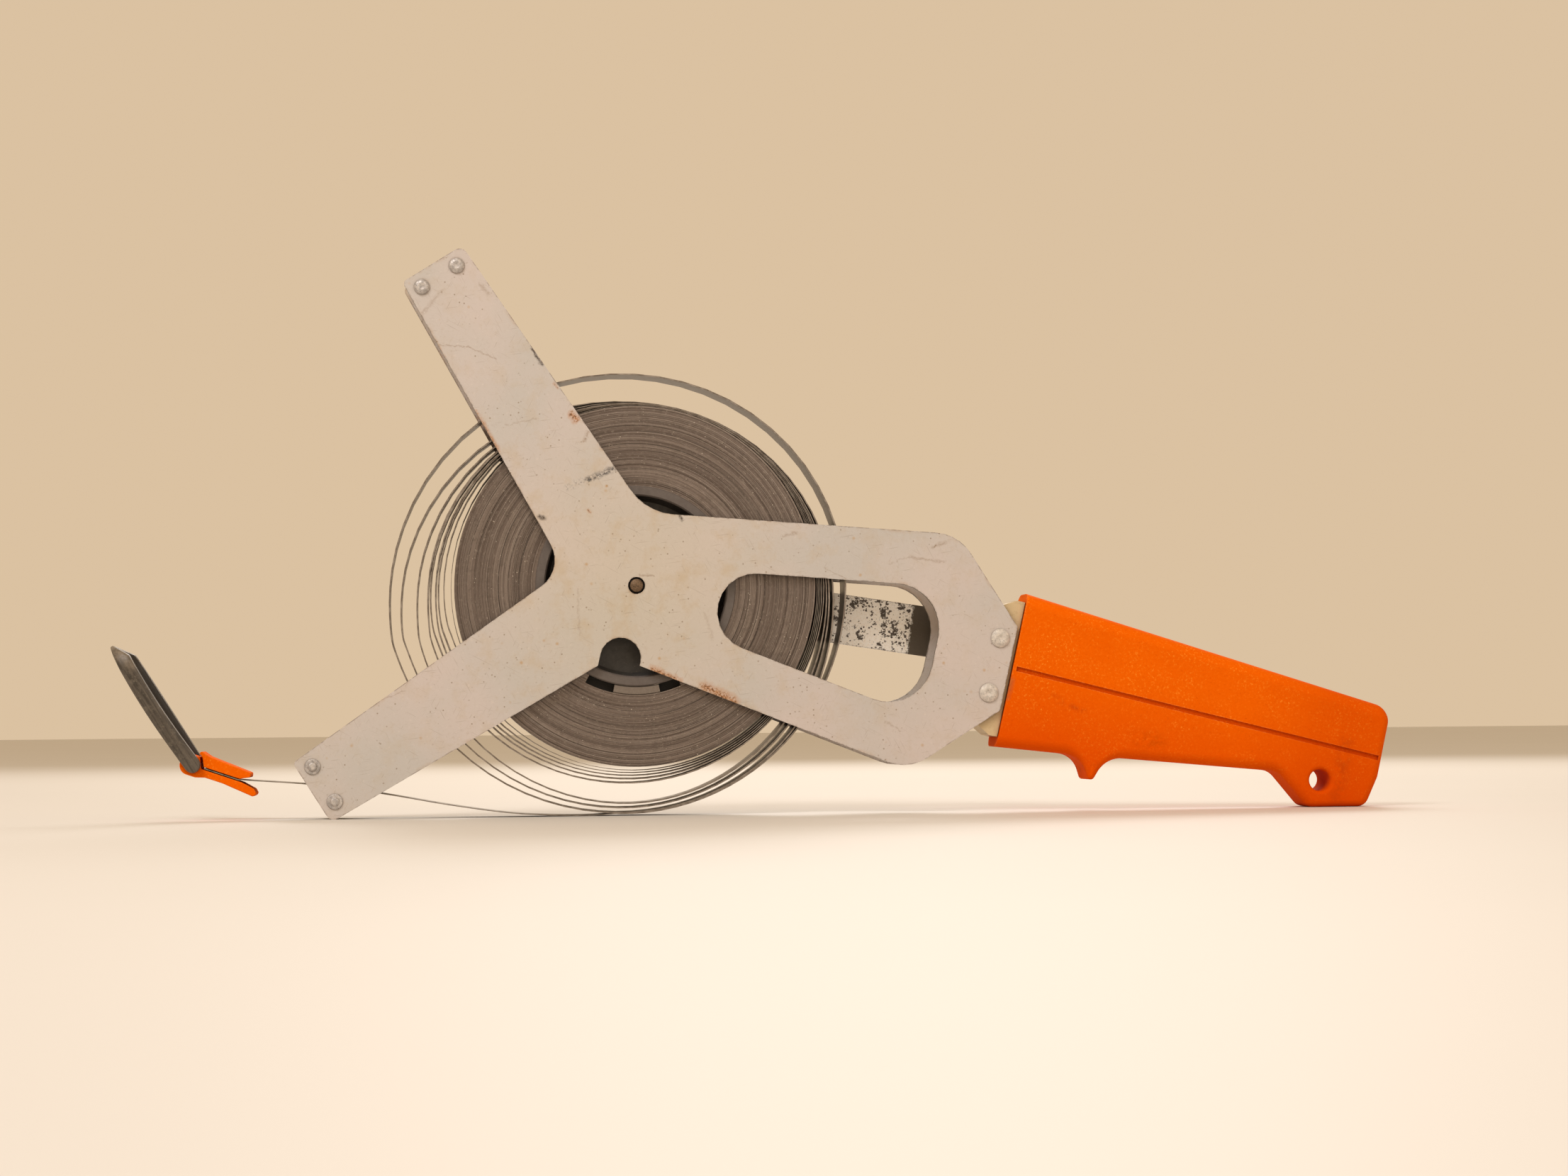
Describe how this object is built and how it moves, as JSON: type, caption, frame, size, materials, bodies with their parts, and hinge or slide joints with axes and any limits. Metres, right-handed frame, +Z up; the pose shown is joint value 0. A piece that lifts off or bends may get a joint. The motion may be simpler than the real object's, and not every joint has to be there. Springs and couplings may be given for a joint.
{
  "type": "open frame long tape measure",
  "caption": "Long steel tape measure wound on an open two-plate reel, with an orange handle grip, folding crank, guide rollers and a finger ring on the tape's end.",
  "frame": {"origin": "middle of the base of the bounding box, with the tool standing on its lower arm's tip and the foot of its grip", "axes": "+X to the grip, +Y along the reel's axle from the front plate to the crank, +Z up"},
  "size_m": [0.4564, 0.0639, 0.2],
  "materials": {
    "plate_paint": "warm light grey satin paint, worn along the edges",
    "cream_plastic": "cream moulded core, slightly dirty",
    "orange_plastic": "orange fine-grained moulded plastic",
    "rivet_aluminium": "dull domed rivet heads",
    "dark_steel": "darkened, slightly rusty steel",
    "tape_steel": "dark rolled steel tape, edges showing fine lines",
    "clip_steel": "pale spring steel clip",
    "hub_plastic": "dark moulded drum",
    "crank_nickel": "bright nickel plate with dark corrosion specks",
    "knob_plastic": "black glossy knob",
    "ring_plastic": "dark olive grey satin plastic",
    "roller_nylon": "pale nylon rollers and washers"
  },
  "bodies": {
    "frame": {"front_frame_plate": "plate_paint", "rear_frame_plate": "plate_paint", "handle_core": "cream_plastic", "handle_grip": "orange_plastic", "grip_rivet_upper": "rivet_aluminium", "grip_rivet_lower": "rivet_aluminium", "tape_loose_turns": "tape_steel", "tape_tail": "tape_steel", "tip_rivet_upper_outer": "rivet_aluminium", "tip_rivet_upper_inner": "rivet_aluminium", "tip_rivet_lower_outer": "rivet_aluminium", "tip_rivet_lower_inner": "rivet_aluminium"},
    "reel": {"reel_hub": "hub_plastic", "tape_pack": "tape_steel", "tape_first_turns": "tape_steel", "tape_anchor_clip": "clip_steel", "axle": "dark_steel", "hub_washer_front": "roller_nylon", "hub_washer_rear": "roller_nylon", "crank_washer": "dark_steel", "crank_arm": "crank_nickel", "crank_nut": "rivet_aluminium", "crank_fold_pin": "rivet_aluminium"},
    "knob_mount": {"knob_spindle": "rivet_aluminium"},
    "knob": {"crank_knob": "knob_plastic"},
    "tape_end": {"tape_lead": "tape_steel", "clamp_upper_jaw": "orange_plastic", "clamp_lower_jaw": "orange_plastic", "clamp_rivet": "rivet_aluminium", "ring_pin": "dark_steel"},
    "finger_ring": {"end_ring": "ring_plastic"},
    "roller_upper_outer": {"guide_roller_upper_outer": "roller_nylon"},
    "roller_upper_inner": {"guide_roller_upper_inner": "roller_nylon"},
    "roller_lower_outer": {"guide_roller_lower_outer": "roller_nylon"},
    "roller_lower_inner": {"guide_roller_lower_inner": "roller_nylon"}
  },
  "joints": [
    {"name": "reel_spin", "type": "hinge", "parent": "frame", "child": "reel", "pos_m": [-0.0447, -0.0208, 0.081], "axis": [0, 1, 0], "continuous": true},
    {"name": "knob_fold", "type": "hinge", "parent": "reel", "child": "knob_mount", "pos_m": [0.06406, 0.0003, 0.06455], "axis": [0.1495, 0, 0.9888], "range_deg": [0, 90]},
    {"name": "knob_spin", "type": "hinge", "parent": "knob_mount", "child": "knob", "pos_m": [0.06406, 0.0003, 0.06455], "axis": [0, 1, 0], "continuous": true},
    {"name": "tape_pull", "type": "slide", "parent": "frame", "child": "tape_end", "axis": [-0.9981, 0, 0.061], "range_m": [0, 0.04]},
    {"name": "ring_swing", "type": "hinge", "parent": "tape_end", "child": "finger_ring", "pos_m": [-0.199, -0.0208, 0.0195], "axis": [0, 1, 0], "range_deg": [-58, 85]},
    {"name": "roller_spin_upper_outer", "type": "hinge", "parent": "frame", "child": "roller_upper_outer", "pos_m": [-0.11953, -0.0208, 0.18632], "axis": [0, 1, 0], "continuous": true},
    {"name": "roller_spin_upper_inner", "type": "hinge", "parent": "frame", "child": "roller_upper_inner", "pos_m": [-0.10735, -0.0208, 0.194], "axis": [0, 1, 0], "continuous": true},
    {"name": "roller_spin_lower_outer", "type": "hinge", "parent": "frame", "child": "roller_lower_outer", "pos_m": [-0.1577, -0.0208, 0.01835], "axis": [0, 1, 0], "continuous": true},
    {"name": "roller_spin_lower_inner", "type": "hinge", "parent": "frame", "child": "roller_lower_inner", "pos_m": [-0.15002, -0.0208, 0.00617], "axis": [0, 1, 0], "continuous": true}
  ]
}
